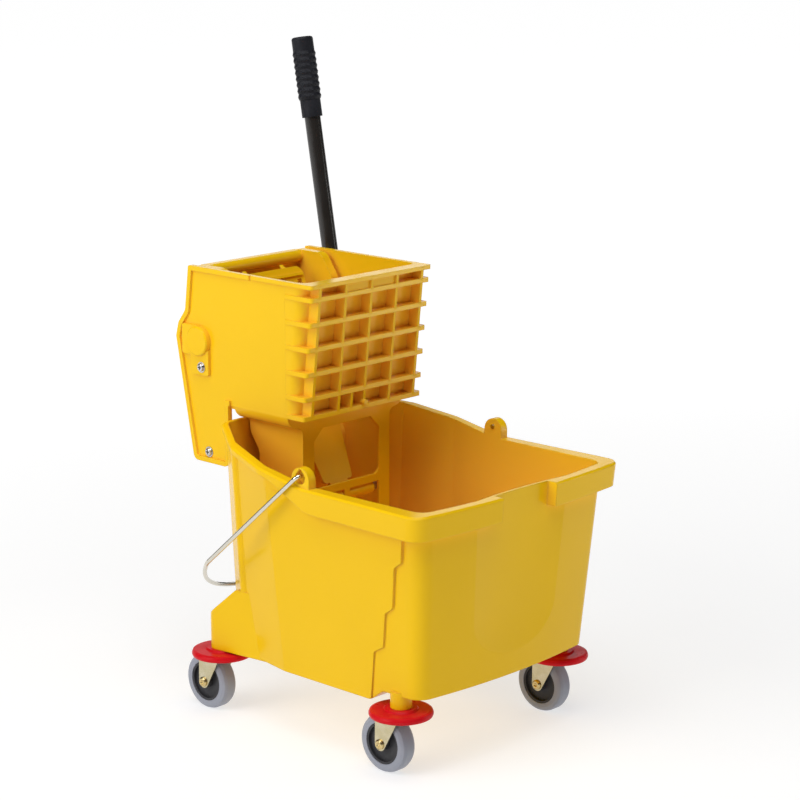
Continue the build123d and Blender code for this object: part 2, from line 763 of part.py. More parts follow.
def bail():
    """Wire bail in its own plane, then drooped back from the ears."""
    inside = ear_outside() - EAR_THICK + BAIL_END_BACK
    half = ear_outside() + BAIL_WIRE + BAIL_SIDE_GAP
    path = Wire(
        [
            Edge.make_line((0, -inside), (0, -half)),
            Edge.make_line((0, -half), (BAIL_ARM, -half)),
            Edge.make_three_point_arc((BAIL_ARM, -half), (BAIL_MIDDLE, 0), (BAIL_ARM, half)),
            Edge.make_line((BAIL_ARM, half), (0, half)),
            Edge.make_line((0, half), (0, inside)),
        ]
    )
    eyes = [v for v in path.vertices() if abs(v.X) < BITE and abs(abs(v.Y) - half) < BITE]
    path = path.fillet_2d(BAIL_EYE_BEND, eyes)
    bends = [v for v in path.vertices() if abs(v.X - BAIL_ARM) < BITE]
    path = path.fillet_2d(BAIL_BEND, bends)
    section = Plane(origin=(0, -inside, 0), z_dir=(0, -1, 0)) * Circle(BAIL_WIRE)
    wire = sweep(section, path=path)
    return Pos(EAR_X, 0, RIM_Z + EAR_PIVOT_RISE) * Rot(0, 180 - BAIL_DROOP, 0) * wire


def grid_front(z):
    """X of the front plane of the basket's grid at a height over the seat."""
    share = (z - BASKET_FLOOR) / (WRINGER_RISE - BASKET_FLOOR)
    return GRID_LOW_X + (GRID_HIGH_X - GRID_LOW_X) * share


def basket_block(inset):
    """Drafted block of the basket, with round front corners; inset gives its hollow."""
    sections = []
    for z in (BASKET_FLOOR, WRINGER_RISE):
        front = grid_front(z) - GRID_DEPTH - inset
        half = WRINGER_HALF - inset
        back = NECK_REAR_HIGH + WRINGER_HALF / 2
        corner = BASKET_CORNER - inset / 2
        face = outline((back, -half), (front, -half, corner), (front, half, corner), (back, half))
        sections.append(Pos(0, 0, z) * face)
    return loft(sections, ruled=True)


def neck_block(inset):
    """Rounded shoulder and neck under the basket; inset gives the way through."""
    wide = WRINGER_HALF - inset
    slim = NECK_HALF - inset
    low = NECK_LOW - inset
    high = BASKET_FLOOR + BASKET_FLOOR_THICK
    front_view = outline(
        (-wide, high),
        (-wide, SHOULDER_LOW, SHOULDER_ROUND),
        (-slim, SHOULDER_LOW, SHOULDER_HOLLOW),
        (-slim, low),
        (slim, low),
        (slim, SHOULDER_LOW, SHOULDER_HOLLOW),
        (wide, SHOULDER_LOW, SHOULDER_ROUND),
        (wide, high),
    )
    side_view = outline(
        (NECK_FRONT - inset, high),
        (NECK_REAR_HIGH + inset, high),
        (NECK_REAR_HIGH + inset, NECK_REAR_KNEE, NECK_ROUND),
        (NECK_REAR_LOW + inset, NECK_REAR_FOOT, NECK_ROUND),
        (NECK_REAR_LOW + inset, low),
        (NECK_FRONT - inset, low),
    )
    return front_plate(front_view, -REACH, REACH) & side_plate(side_view, -REACH, REACH)


def skirt_outline():
    """Side wall of the housing: basket side, pivot bulge, and the skirt behind the bucket wall."""
    top_x, high_x, bulge_x, knee_x, foot_x = SKIRT_REAR
    high_z, bulge_z, knee_z = SKIRT_REAR_Z
    top_round, high_round, bulge_round, knee_round, foot_round = SKIRT_ROUNDS
    front_low = GRID_LOW_X - GRID_DEPTH - BASKET_CORNER
    front_high = GRID_HIGH_X - GRID_DEPTH - BASKET_CORNER
    return outline(
        (front_high, WRINGER_RISE),
        (top_x, WRINGER_RISE, top_round),
        (high_x, high_z, high_round),
        (bulge_x, bulge_z, bulge_round),
        (knee_x, knee_z, knee_round),
        (foot_x, -SKIRT_DROP, foot_round),
        (SLOT_BACK, -SKIRT_DROP, foot_round),
        (SLOT_BACK, BASKET_FLOOR),
        (front_low, BASKET_FLOOR),
    )


def skirt(side):
    """Side wall with a raised flange round its edge."""
    face = skirt_outline()
    wall = side_plate(face, WRINGER_HALF - HOUSING_WALL, WRINGER_HALF)
    flange_face = face - offset(face, -FLANGE_WIDTH, kind=Kind.INTERSECTION)
    flange = side_plate(flange_face, WRINGER_HALF - HOUSING_WALL, WRINGER_HALF + FLANGE_OUT)
    front = outline((FLANGE_FRONT, -REACH), (REACH, -REACH), (REACH, REACH), (FLANGE_FRONT, REACH))
    low = outline((0, -REACH), (REACH, -REACH), (REACH, FLANGE_FRONT_LOW), (0, FLANGE_FRONT_LOW))
    flange -= side_plate(front + low, 0, REACH)
    wall += flange
    return wall if side > 0 else mirror(wall, Plane.XZ)


def shelf_plate(x_low, x_high, half, z_low, z_high):
    """Level block across the middle."""
    middle = Pos((x_low + x_high) / 2, 0, (z_low + z_high) / 2)
    return middle * Box(x_high - x_low, 2 * half, z_high - z_low)


def grid_row(z, thick, half, back):
    """One shelf of the grid, wrapping round the basket's corners."""
    front = grid_front(z)
    face = outline((back, -half), (front, -half, GRID_CORNER), (front, half, GRID_CORNER), (back, half))
    return extrude(Pos(0, 0, z - thick / 2) * face, thick)


def grid_column(y):
    face = outline(
        (GRID_LOW_X / 2, BASKET_FLOOR),
        (grid_front(BASKET_FLOOR), BASKET_FLOOR),
        (grid_front(WRINGER_RISE), WRINGER_RISE),
        (GRID_LOW_X / 2, WRINGER_RISE),
    )
    return side_plate(face, y - COLUMN_THICK / 2, y + COLUMN_THICK / 2)


def grid():
    """Egg-crate of shelves and uprights in front of the basket wall."""
    back = GRID_LOW_X - GRID_DEPTH - BASKET_CORNER
    half = WRINGER_HALF + ROW_PROUD
    bead_half = WRINGER_HALF + FLANGE_OUT
    rows = grid_row(BASKET_FLOOR + BASKET_FLOOR_THICK / 2, BASKET_FLOOR_THICK, half, back)
    rows += grid_row(WRINGER_RISE - BEAD_HEIGHT / 2, BEAD_HEIGHT, bead_half, back - BEAD_BACK)
    for index in range(ROW_COUNT):
        rows += grid_row(ROW_TOP - index * ROW_PITCH, ROW_THICK, half, back)
    for index in range(-2, 3):
        rows += grid_column(index * COLUMN_PITCH)
    blank_face = outline(
        (grid_front(ROW_TOP) - BLANK_BACK - GRID_DEPTH, ROW_TOP),
        (grid_front(ROW_TOP) - BLANK_BACK, ROW_TOP),
        (grid_front(WRINGER_RISE) - BLANK_BACK, WRINGER_RISE),
        (grid_front(WRINGER_RISE) - BLANK_BACK - GRID_DEPTH, WRINGER_RISE),
    )
    rows += side_plate(blank_face, -COLUMN_PITCH, COLUMN_PITCH)
    low_z = BASKET_FLOOR + BASKET_FLOOR_THICK
    low_row = ROW_TOP - (ROW_COUNT - 1) * ROW_PITCH
    short_face = outline(
        (grid_front(low_z) - GRID_DEPTH - BITE, low_z - BITE),
        (grid_front(low_z), low_z - BITE),
        (grid_front(low_row), low_row),
        (grid_front(low_row) - GRID_DEPTH - BITE, low_row),
    )
    short_y = -COLUMN_PITCH / 2
    rows += side_plate(short_face, short_y - COLUMN_THICK / 2, short_y + COLUMN_THICK / 2)
    nub_z = low_z + NUB_RADIUS
    rows += Pos(grid_front(nub_z), 0, nub_z) * Rot(0, 90, 0) * Cylinder(NUB_RADIUS, NUB_LENGTH)
    return rows


def neck_windows():
    """Window over the crossbar and the open slot for the hinge under it."""
    high = outline(
        (-WINDOW_HALF, WINDOW_LOW, WINDOW_ROUND),
        (WINDOW_HALF, WINDOW_LOW, WINDOW_ROUND),
        (WINDOW_HALF, WINDOW_HIGH - WINDOW_CHAMFER),
        (WINDOW_HALF - WINDOW_CHAMFER, WINDOW_HIGH),
        (WINDOW_CHAMFER - WINDOW_HALF, WINDOW_HIGH),
        (-WINDOW_HALF, WINDOW_HIGH - WINDOW_CHAMFER),
    )
    low = outline(
        (-WINDOW_HALF, LOWER_WINDOW_LOW),
        (WINDOW_HALF, LOWER_WINDOW_LOW),
        (WINDOW_HALF, WINDOW_LOW - CROSSBAR),
        (-WINDOW_HALF, WINDOW_LOW - CROSSBAR),
    )
    return front_plate(high + low, NECK_FRONT - 2 * HOUSING_WALL, NECK_FRONT + 2 * HOUSING_WALL)


def hinge_lug():
    """Lug in the middle of the neck's front that carries the hinge pin between the knuckles."""
    low = HINGE_Z - KNUCKLE_RADIUS
    eye = Pos(HINGE_X, HINGE_Z) * Circle(KNUCKLE_RADIUS)
    tail = outline(
        (HINGE_X, low),
        (NECK_FRONT, LOWER_WINDOW_LOW - BITE),
        (NECK_FRONT, WINDOW_LOW - CROSSBAR + BITE),
        (HINGE_X, HINGE_Z + KNUCKLE_RADIUS),
    )
    return side_plate(eye + tail, -LUG_HALF, LUG_HALF)


def rear_panel():
    """Panel between the skirts behind the rear wall, with the shelf and saddle that sit on it."""
    knee_x = SKIRT_REAR[3]
    foot_x = SKIRT_REAR[4]
    knee_z = SKIRT_REAR_Z[2]
    slope = (foot_x - knee_x) / (knee_z + SKIRT_DROP)

    def edge(z):
        return knee_x + (knee_z - z) * slope

    inside = WRINGER_HALF - HOUSING_WALL / 2
    panel_face = outline(
        (edge(BASKET_FLOOR), BASKET_FLOOR),
        (edge(REAR_PANEL_HIGH), REAR_PANEL_HIGH),
        (edge(REAR_PANEL_HIGH) + HOUSING_WALL, REAR_PANEL_HIGH),
        (edge(BASKET_FLOOR) + HOUSING_WALL, BASKET_FLOOR),
    )
    panel = side_plate(panel_face, -inside, inside)
    shelf_low = BASKET_FLOOR - SHELF_THICK
    panel += shelf_plate(edge(shelf_low), NECK_REAR_HIGH + BITE, inside, shelf_low, BASKET_FLOOR)
    saddle_x = WALL / 2 - SADDLE_WIDTH / 2
    return panel + shelf_plate(saddle_x, saddle_x + SADDLE_WIDTH, SADDLE_HALF, 0, BASKET_FLOOR)


def wringer_housing():
    housing = both_sides(skirt)
    housing += basket_block(0) + neck_block(0) + grid()
    housing -= basket_block(HOUSING_WALL)
    inside = WRINGER_HALF - HOUSING_WALL
    housing -= shelf_plate(-REACH, GRID_LOW_X / 2, inside, BASKET_FLOOR, REACH)
    housing -= neck_block(HOUSING_WALL)
    housing -= neck_windows()
    housing += hinge_lug() + rear_panel()
    for side in (-1, 1):
        boss_in = side * (inside - BEARING_BOSS_LENGTH)
        housing += rod(BEARING_BOSS, PIVOT_X, PIVOT_Z, boss_in, side * inside)
        screw_in = side * (inside - CAP_SCREW_BOSS_LENGTH)
        housing += rod(CAP_SCREW_BOSS, *CAP_SCREW, screw_in, side * inside)
    housing -= rod(SHAFT_RADIUS + RUN_FIT, PIVOT_X, PIVOT_Z, -REACH, REACH)
    housing -= rod(SCREW_RADIUS + SLIP_FIT, *CAP_SCREW, -REACH, REACH)
    housing -= rod(SCREW_RADIUS + SLIP_FIT, *TIE_SCREW, -REACH, REACH)
    return housing - rod(HINGE_PIN_RADIUS + SLIP_FIT, HINGE_X, HINGE_Z, -REACH, REACH)


def basket_front_space():
    """Where the basket's front wall with its grid is, kept apart from the rest of the housing."""
    back = GRID_LOW_X - GRID_DEPTH - BASKET_CORNER - BITE
    return shelf_plate(back, REACH, REACH, BASKET_FLOOR - BITE, REACH)


def pivot_cap(side):
    """Cover over the shaft's bearing, with a round boss; the lever side lets the shaft through."""
    tab_back, tab_front, tab_low = CAP_TAB
    plate = Pos(PIVOT_X, PIVOT_Z) * Circle(CAP_BOSS_RADIUS)
    plate += outline(
        (CAP_BACK, PIVOT_Z - CAP_HALF, CAP_ROUND),
        (PIVOT_X, PIVOT_Z - CAP_HALF),
        (PIVOT_X, PIVOT_Z + CAP_HALF),
        (CAP_BACK, PIVOT_Z + CAP_HALF, CAP_ROUND),
    )
    plate += outline(
        (tab_back, tab_low, CAP_ROUND),
        (tab_front, tab_low, CAP_ROUND),
        (tab_front, PIVOT_Z - CAP_HALF / 2),
        (tab_back, PIVOT_Z - CAP_HALF / 2),
    )
    cap = side_plate(plate, WRINGER_HALF, WRINGER_HALF + CAP_THICK)
    boss_out = WRINGER_HALF + CAP_THICK + CAP_BOSS_RISE
    boss = turned_y(
        (0, WRINGER_HALF),
        (CAP_BOSS_RADIUS, WRINGER_HALF),
        (CAP_BOSS_RADIUS, boss_out - CAP_CHAMFER),
        (CAP_BOSS_RADIUS - CAP_CHAMFER, boss_out),
        (0, boss_out),
    )
    cap += Pos(PIVOT_X, 0, PIVOT_Z) * boss
    cap -= rod(SCREW_RADIUS + SLIP_FIT, *CAP_SCREW, 0, REACH)
    if side > 0:
        return cap - rod(SHAFT_RADIUS + RUN_FIT, PIVOT_X, PIVOT_Z, 0, REACH)
    return mirror(cap, Plane.XZ)


def screw(place, side, seat, tip):
    """Pan-head screw with its head on a washer at seat and its tip at tip, both as distances in Y."""
    head_high = seat + WASHER_THICK + SCREW_HEAD_RISE
    turned = turned_y(
        (0, tip),
        (SCREW_RADIUS, tip),
        (SCREW_RADIUS, seat + WASHER_THICK),
        (SCREW_HEAD, seat + WASHER_THICK),
        (SCREW_HEAD, head_high, SCREW_HEAD_ROUND),
        (0, head_high),
    )
    placed = Pos(place[0], 0, place[1]) * turned
    return placed if side > 0 else mirror(placed, Plane.XZ)


def washer(place, side, seat):
    ring = rod(WASHER_RADIUS, *place, seat, seat + WASHER_THICK)
    ring -= rod(SCREW_RADIUS + SLIP_FIT, *place, 0, REACH)
    return ring if side > 0 else mirror(ring, Plane.XZ)


def tie_rod():
    half = WRINGER_HALF - HOUSING_WALL
    bar = rod(TIE_ROD_RADIUS, *TIE_SCREW, -half, half)
    hole_end = half - TIE_SCREW_BITE - SCREW_END_GAP
    for side in (-1, 1):
        bar -= rod(SCREW_RADIUS + SLIP_FIT, *TIE_SCREW, side * hole_end, side * REACH)
    return bar


def hinge_pin():
    end = NECK_HALF + PIN_END_LENGTH
    pin = turned_y(
        (0, -end),
        (PIN_END_RADIUS, -end),
        (PIN_END_RADIUS, -NECK_HALF),
        (HINGE_PIN_RADIUS, -NECK_HALF),
        (HINGE_PIN_RADIUS, NECK_HALF),
        (PIN_END_RADIUS, NECK_HALF),
        (PIN_END_RADIUS, end),
        (0, end),
    )
    return Pos(HINGE_X, 0, HINGE_Z) * pin


def cross_shaft():
    right_end = SHAFT_END_GAP - WRINGER_HALF
    left_end = LEVER_Y + SOCKET_HUB_HALF - SHAFT_END_BACK
    return rod(SHAFT_RADIUS, PIVOT_X, PIVOT_Z, right_end, left_end)


def yoke():
    """Two arms on the shaft, a web and a round nose that pushes the presser."""
    cheek_x, cheek_z = YOKE_CHEEK
    arm_face = outline(
        (-YOKE_BACK, 0),
        (-YOKE_BACK, YOKE_TOP, YOKE_BACK_ROUND),
        (YOKE_FRONT, YOKE_TOP, YOKE_ROUND),
        (cheek_x, cheek_z, YOKE_ROUND),
        (YOKE_HUB, 0),
    )
    arm_face += Circle(YOKE_HUB)
    body = side_plate(arm_face, -YOKE_ARM_OUT, -YOKE_ARM_IN)
    body += side_plate(arm_face, YOKE_ARM_IN, YOKE_ARM_OUT)
    half = YOKE_ARM_IN + BITE
    nose_x = NOSE_REACH * cos(radians(NOSE_ANGLE))
    nose_z = NOSE_REACH * sin(radians(NOSE_ANGLE))
    body += rod(NOSE_RADIUS, nose_x, nose_z, -half, half)
    web_front = YOKE_WEB - YOKE_BACK
    web_face = outline((-YOKE_BACK, 0), (-YOKE_BACK, nose_z), (web_front, nose_z), (web_front, 0))
    body += side_plate(web_face, -half, half)
    strip_high = nose_z + NOSE_RADIUS
    strip_face = outline(
        (-YOKE_STRIP_BACK, strip_high - NOSE_RADIUS),
        (-YOKE_STRIP_BACK, strip_high, YOKE_STRIP_ROUND),
        (nose_x, strip_high),
        (nose_x, strip_high - NOSE_RADIUS),
    )
    body += side_plate(strip_face, -half, half)
    body -= rod(SHAFT_RADIUS + SLIP_FIT, 0, 0, -REACH, REACH)
    return Pos(PIVOT_X, 0, PIVOT_Z) * body


def on_lever(shape):
    """Place a piece drawn upright on Z at the lever's pivot and lean."""
    return Pos(PIVOT_X, LEVER_Y, PIVOT_Z) * Rot(0, -LEVER_LEAN, 0) * shape


def lever_socket():
    sleeve = turned_z(
        (0, 0),
        (SOCKET_RADIUS, 0),
        (SOCKET_RADIUS, SOCKET_LENGTH - SOCKET_CHAMFER),
        (SOCKET_RADIUS - SOCKET_CHAMFER, SOCKET_LENGTH),
        (0, SOCKET_LENGTH),
    )
    hub_chamfer = SOCKET_HUB_RADIUS - SOCKET_CHAMFER
    hub = turned_y(
        (0, -SOCKET_HUB_HALF),
        (hub_chamfer, -SOCKET_HUB_HALF),
        (SOCKET_HUB_RADIUS, SOCKET_CHAMFER - SOCKET_HUB_HALF),
        (SOCKET_HUB_RADIUS, SOCKET_HUB_HALF - SOCKET_CHAMFER),
        (hub_chamfer, SOCKET_HUB_HALF),
        (0, SOCKET_HUB_HALF),
    )
    socket = hub + sleeve
    socket -= Pos(0, 0, TUBE_START + REACH / 2) * Cylinder(TUBE_RADIUS + SLIP_FIT, REACH)
    socket -= rod(SHAFT_RADIUS + SLIP_FIT, 0, 0, -REACH, REACH)
    socket -= rod(SOCKET_BOLT_RADIUS + SLIP_FIT, 0, SOCKET_BOLT_AT, -REACH, REACH)
    return on_lever(socket)


def lever_tube():
    tube_high = LEVER_LENGTH - GRIP_END_WALL
    length = tube_high - TUBE_START
    tube = Cylinder(TUBE_RADIUS, length) - Cylinder(TUBE_RADIUS - TUBE_WALL, length)
    tube = Pos(0, 0, TUBE_START + length / 2) * tube
    tube -= rod(SOCKET_BOLT_RADIUS + SLIP_FIT, 0, SOCKET_BOLT_AT, -REACH, REACH)
    return on_lever(tube)


def lever_grip():
    """Rubber grip: a slim cuff, rings to hold by, and a plain rounded end."""
    low = LEVER_LENGTH - GRIP_LENGTH
    bore_high = LEVER_LENGTH - GRIP_END_WALL
    bore = TUBE_RADIUS + SLIP_FIT
    rings = [(GRIP_RADIUS, low + GRIP_CUFF)]
    for index in range(GRIP_RINGS):
        ring_low = low + GRIP_CUFF + index * GRIP_RING_PITCH
        rings.append((GRIP_RADIUS + GRIP_RING_RISE, ring_low + GRIP_RING_PITCH / 2))
        rings.append((GRIP_RADIUS, ring_low + GRIP_RING_PITCH))
    grip = turned_z(
        (0, bore_high),
        (bore, bore_high),
        (bore, low),
        (GRIP_CUFF_RADIUS, low),
        (GRIP_CUFF_RADIUS, low + GRIP_CUFF),
        *rings,
        (GRIP_RADIUS, LEVER_LENGTH, GRIP_END_ROUND),
        (0, LEVER_LENGTH),
    )
    return on_lever(grip)


def socket_bolt():
    seat_y = SOCKET_RADIUS + SOCKET_BOLT_GAP
    end = seat_y + SOCKET_BOLT_HEAD
    head = 2 * SOCKET_BOLT_RADIUS
    bolt = turned_y(
        (0, -end),
        (head, -end),
        (head, -seat_y),
        (SOCKET_BOLT_RADIUS, -seat_y),
        (SOCKET_BOLT_RADIUS, seat_y),
        (head, seat_y),
        (head, end),
        (0, end),
    )
    return on_lever(Pos(0, 0, SOCKET_BOLT_AT) * bolt)


def ramp_point(turn):
    """Where the nose is on the presser's back, along it and behind it, at a turn of the lever."""
    angle = radians(NOSE_ANGLE - turn)
    lean = radians(PRESSER_LEAN - PRESSER_RATIO * turn)
    across = PIVOT_X + NOSE_REACH * cos(angle) - HINGE_X
    up = PIVOT_Z + NOSE_REACH * sin(angle) - HINGE_Z
    along = up * cos(lean) - across * sin(lean)
    behind = -across * cos(lean) - up * sin(lean)
    return along, behind - RAMP_ALLOWANCE


def ramp_rib(y):
    """Rib on the presser's back, its edge following the nose over the lever's travel."""
    shares = [RAMP_FROM + (1 - RAMP_FROM) * step / RAMP_STEPS for step in range(RAMP_STEPS + 1)]
    track = [ramp_point(LEVER_TRAVEL * share) for share in shares]
    curve = Spline([(-behind, along) for along, behind in track])
    high_along, high_behind = track[0]
    low_along, low_behind = track[-1]
    top = min(high_along, PRESSER_LENGTH)
    rest = Polyline((-low_behind, low_along), (0, RAMP_FOOT), (0, top), (-high_behind, high_along))
    face = make_face(curve.edges() + rest.edges())
    return side_plate(face, y - RAMP_THICK / 2, y + RAMP_THICK / 2)


def presser():
    """Pressing plate on two hinge knuckles, drawn upright over its hinge and then leaned back."""
    half_face = (
        (PRESSER_STEM_HALF, 0),
        (PRESSER_STEM_HALF, PRESSER_LOW),
        (PRESSER_LOW_HALF, PRESSER_LOW, PRESSER_ROUND / 2),
        (PRESSER_HALF, PRESSER_LENGTH, PRESSER_ROUND),
    )
    other_half = [(-corner[0], *corner[1:]) for corner in reversed(half_face)]
    plate = front_plate(outline(*half_face, *other_half), -PRESSER_THICK / 2, PRESSER_THICK / 2)
    plate += both_sides(lambda side: rod(KNUCKLE_RADIUS, 0, 0, side * LUG_HALF, side * KNUCKLE_HALF))
    plate += both_sides(lambda side: ramp_rib(side * RAMP_Y))
    first = PRESSER_LENGTH - SQUEEZE_TOP - (SQUEEZE_RIBS - 1) * SQUEEZE_RIB_PITCH
    rib_depth = PRESSER_THICK / 2 + SQUEEZE_RIB_HEIGHT
    rib = Box(rib_depth, 2 * (PRESSER_HALF - SQUEEZE_RIB_SHORT), SQUEEZE_RIB_THICK)
    for index in range(SQUEEZE_RIBS):
        plate += Pos(rib_depth / 2, 0, first + index * SQUEEZE_RIB_PITCH) * rib
    slot = Box(4 * PRESSER_THICK, DRAIN_SLOT_WIDTH, DRAIN_SLOT_HEIGHT)
    for index in range(SQUEEZE_RIBS - 1):
        z = first + (index + 0.5) * SQUEEZE_RIB_PITCH
        for column in DRAIN_COLUMNS:
            plate -= Pos(0, column * DRAIN_SLOT_PITCH, z) * slot
    lug_way = LUG_HALF + CENTRE_GAP
    plate -= rod(KNUCKLE_RADIUS + KNUCKLE_CLEAR, 0, 0, -lug_way, lug_way)
    plate -= rod(HINGE_PIN_RADIUS + RUN_FIT, 0, 0, -REACH, REACH)
    return Pos(HINGE_X, 0, HINGE_Z) * Rot(0, -PRESSER_LEAN, 0) * plate


def casters():
    """Nodes of the four casters, each built at its stem and moved into place."""
    makers = {
        "bumper": bumper,
        "caster_stem": caster_stem,
        "caster_fork": caster_fork,
        "caster_axle": caster_axle,
        "wheel_hub": wheel_hub,
        "tyre": tyre,
    }
    nodes = {}
    for kind, make in makers.items():
        piece = make()
        for end, (x, y) in (("front", FRONT_STEM), ("rear", REAR_STEM)):
            for hand, side in (("right", -1), ("left", 1)):
                nodes[f"{kind}_{end}_{hand}"] = Pos(x, side * y, 0) * piece
    return nodes


def wringer():
    """Nodes of the wringer, measured from its seat on the rear rim."""
    cap_seat = WRINGER_HALF + CAP_THICK
    cap_tip = WRINGER_HALF - HOUSING_WALL - CAP_SCREW_BOSS_LENGTH + SCREW_END_GAP
    tie_tip = WRINGER_HALF - HOUSING_WALL - TIE_SCREW_BITE
    sides = (-1, 1)
    cap_screws = [screw(CAP_SCREW, side, cap_seat, cap_tip) for side in sides]
    tie_screws = [screw(TIE_SCREW, side, WRINGER_HALF, tie_tip) for side in sides]
    washers = [washer(CAP_SCREW, side, cap_seat) for side in sides]
    washers += [washer(TIE_SCREW, side, WRINGER_HALF) for side in sides]
    housing = wringer_housing()
    return {
        "wringer_housing": housing - basket_front_space(),
        "basket_front": housing & basket_front_space(),
        "pivot_cap_right": pivot_cap(-1),
        "pivot_cap_left": pivot_cap(1),
        "cap_screws": Compound(children=cap_screws),
        "tie_screws": Compound(children=tie_screws),
        "screw_washers": Compound(children=washers),
        "tie_rod": tie_rod(),
        "hinge_pin": hinge_pin(),
        "cross_shaft": cross_shaft(),
        "yoke": yoke(),
        "lever_socket": lever_socket(),
        "lever_tube": lever_tube(),
        "lever_grip": lever_grip(),
        "socket_bolt": socket_bolt(),
        "presser": presser(),
    }


def seat():
    """Where the wringer's own origin goes: the outside of the rear wall, at the top of its rim."""
    rear_x = bucket_corner(0, rim_height(HIGH_CORNERS[0][0])).X
    return Pos(rear_x, 0, rim_height(rear_x - LIP_OUT_REAR) + SEAT_GAP)


def main():
    nodes = {"bucket_shell": bucket_shell(), "bail": bail()}
    nodes.update(casters())
    place = seat()
    nodes.update({name: place * shape for name, shape in wringer().items()})
    os.makedirs("parts", exist_ok=True)
    for name, shape in nodes.items():
        shape.label = name
        export_step(shape, f"parts/{name}.step")


if __name__ == "__main__":
    main()
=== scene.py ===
import json
import math

import bpy
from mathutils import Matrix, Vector


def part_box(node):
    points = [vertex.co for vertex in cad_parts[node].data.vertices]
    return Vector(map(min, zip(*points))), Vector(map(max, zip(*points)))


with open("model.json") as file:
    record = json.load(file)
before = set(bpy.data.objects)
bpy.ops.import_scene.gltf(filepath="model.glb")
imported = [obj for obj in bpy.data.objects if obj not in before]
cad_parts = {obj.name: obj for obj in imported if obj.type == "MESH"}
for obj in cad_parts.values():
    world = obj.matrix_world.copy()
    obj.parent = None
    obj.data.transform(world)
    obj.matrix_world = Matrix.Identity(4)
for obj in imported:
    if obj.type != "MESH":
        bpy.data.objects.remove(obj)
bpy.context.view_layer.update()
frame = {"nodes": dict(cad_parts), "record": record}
NODES = frame["nodes"]

# Camera, solved from the photograph: degrees, metres, and pixels of an 800 pixel frame
VIEW_AZIMUTH = 43.34
VIEW_ELEVATION = 13.41
VIEW_DISTANCE = 3.10112
VIEW_TARGET = (0.0, 0.0, 0.4)
FOCAL_PIXELS = 2435.59
SHIFT_PIXELS = (2.17, 18.12)
FRAME_PIXELS = 800
SENSOR_MM = 36.0

# Lamps: places and sizes in metres, powers in watts
WORLD_STRENGTH = 0.03
LAMPS = {
    "key": {"place": (-1.1, -3.8, 2.7), "size": (3.0, 3.0), "power": 120.0},
    "top": {"place": (0.8, -0.9, 3.8), "size": (2.8, 2.8), "power": 100.0},
    "back": {"place": (-2.1, 2.2, 1.4), "size": (3.0, 1.0), "power": 12.0},
    "side": {"place": (1.15, 1.3, 0.5), "size": (0.3, 0.9), "power": 3.6},
}

# Floor: its glow is the first value inside the first radius and the second outside the second
FLOOR_HALF = 30.0
FLOOR_ROUGHNESS = 0.9
FLOOR_GLOW = (0.65, 0.98)
FLOOR_GLOW_RADII = (0.8, 4.0)

# Colours: red, green and blue of the linear scale
WHITE = (1.0, 1.0, 1.0)
FLOOR_GREY = (0.38, 0.38, 0.38)
YELLOW = (0.88, 0.535, 0.0045)
# Pale yellow: fine specks in the plastic, and the painted highlight along its rounded edges
SPECK_AND_HIGHLIGHT_YELLOW = (0.93, 0.66, 0.07)
RED = (0.6, 0.006, 0.013)
DUSTY_RED = (0.62, 0.017, 0.021)
TYRE_GREY = (0.31, 0.325, 0.38)
DUSTY_TYRE = (0.37, 0.38, 0.415)
CHARCOAL = (0.042, 0.042, 0.047)
DUSTY_CHARCOAL = (0.095, 0.095, 0.1)
GRIP_BLACK = (0.0105, 0.011, 0.0145)
DUSTY_GRIP = (0.026, 0.027, 0.033)
PAINT_BLACK = (0.018, 0.0155, 0.014)
WORN_PAINT = (0.05, 0.045, 0.04)
ZINC = (0.53, 0.47, 0.29)
PALE_ZINC = (0.62, 0.57, 0.42)
BRASS = (0.62, 0.47, 0.2)
PALE_BRASS = (0.72, 0.6, 0.34)
WIRE = (0.72, 0.69, 0.6)
WIRE_SHADE = (0.48, 0.46, 0.4)
CHROME = (0.62, 0.61, 0.6)
CHROME_SHADE = (0.36, 0.36, 0.36)
STEEL_SHADE = (0.35, 0.35, 0.35)
# Near-black painted shade inside the screws' cross recesses
RECESS_PAINTED_SHADE = (0.02, 0.02, 0.02)

# Painted shade in hollows, for their shadow and the orange light bounced between yellow walls: how far
# off their walls may be, and how its red, green and blue compare with open faces
BUCKET_PAINTED_SHADE = {"reach": 0.42, "shift": (1.04, 0.88, 12.0)}
WRINGER_PAINTED_SHADE = {"reach": 0.15, "shift": (1.12, 0.98, 10.0)}
# Openness where the painted shade of hollows starts and where it is full, and its share there
PAINTED_SHADE_START = 0.8
PAINTED_SHADE_FULL = 0.3
PAINTED_SHADE_SHARE = 0.85
OPENNESS_SAMPLES = 8

# Rounded edges: the cosine to the flat normal where an edge starts and where it is full
EDGE_START = 0.98
EDGE_FULL = 0.80
BEVEL_SAMPLES = 4
# Near a seam the rounding starts and is full at these multiples of its radius
SEAM_START = 1.1
SEAM_CLEAR = 1.6
# A face of the seam looks to the rear at least this much
SEAM_FACING = -0.9
SEAM_DIGITS = 4

# Noise: its usual roughness, and the two values that most of it lies between
NOISE_ROUGHNESS = 0.55
NOISE_LOW = 0.3
NOISE_HIGH = 0.7

# Gloss of the plastic, the rubbers and the paint, and their index of refraction
PLASTIC_IOR = 1.49
PLASTIC_GLOSS = 0.15
RUBBER_IOR = 1.5
RUBBER_GLOSS = 0.2
BUMPER_GLOSS = 0.1
GRIP_GLOSS = 0.14
PAINT_IOR = 1.5
PAINT_GLOSS = 0.5

# Unevenness: how dark clouds and spangles are, and how far roughness goes from its middle value
DARK_CLOUD = 0.955
DARK_SPANGLE = 0.72
SPANGLE_SHARE = 0.1
RUBBER_SWING = 0.07
PLATE_POLISH = 0.04
PLATE_TARNISH = 0.05
METAL_TARNISH = 0.08

